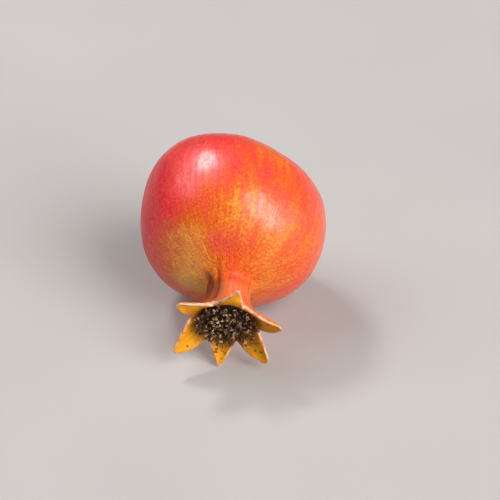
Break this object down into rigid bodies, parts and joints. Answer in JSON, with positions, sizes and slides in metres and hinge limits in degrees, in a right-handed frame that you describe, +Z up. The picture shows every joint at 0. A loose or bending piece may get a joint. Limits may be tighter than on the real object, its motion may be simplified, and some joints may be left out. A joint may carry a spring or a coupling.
{
  "type": "pomegranate",
  "caption": "Ripe pomegranate lying on its side, with a waisted neck, an open crown of pointed sepals around a tuft of dried stamens, and a short cut stalk.",
  "frame": {"origin": "middle of the bounding box's foot, on the surface that the fruit rests on", "axes": "+Z up, -Y towards the crown, +Y towards the stalk, +X to the right when looking at the crown"},
  "size_m": [0.0852, 0.1006, 0.0844],
  "materials": {
    "rind": "glossy waxy rind, streaked red over orange with fine yellow specks; the crown's inner faces are yellow with pale pink rims",
    "stamens": "dry matt plant fibre, near black at the roots with beige anthers",
    "stalk_wood": "matt grey-brown twig bark with a paler cut end"
  },
  "bodies": {
    "root": {"fruit": "rind", "stamens": "stamens", "stalk": "stalk_wood"}
  },
  "joints": []
}
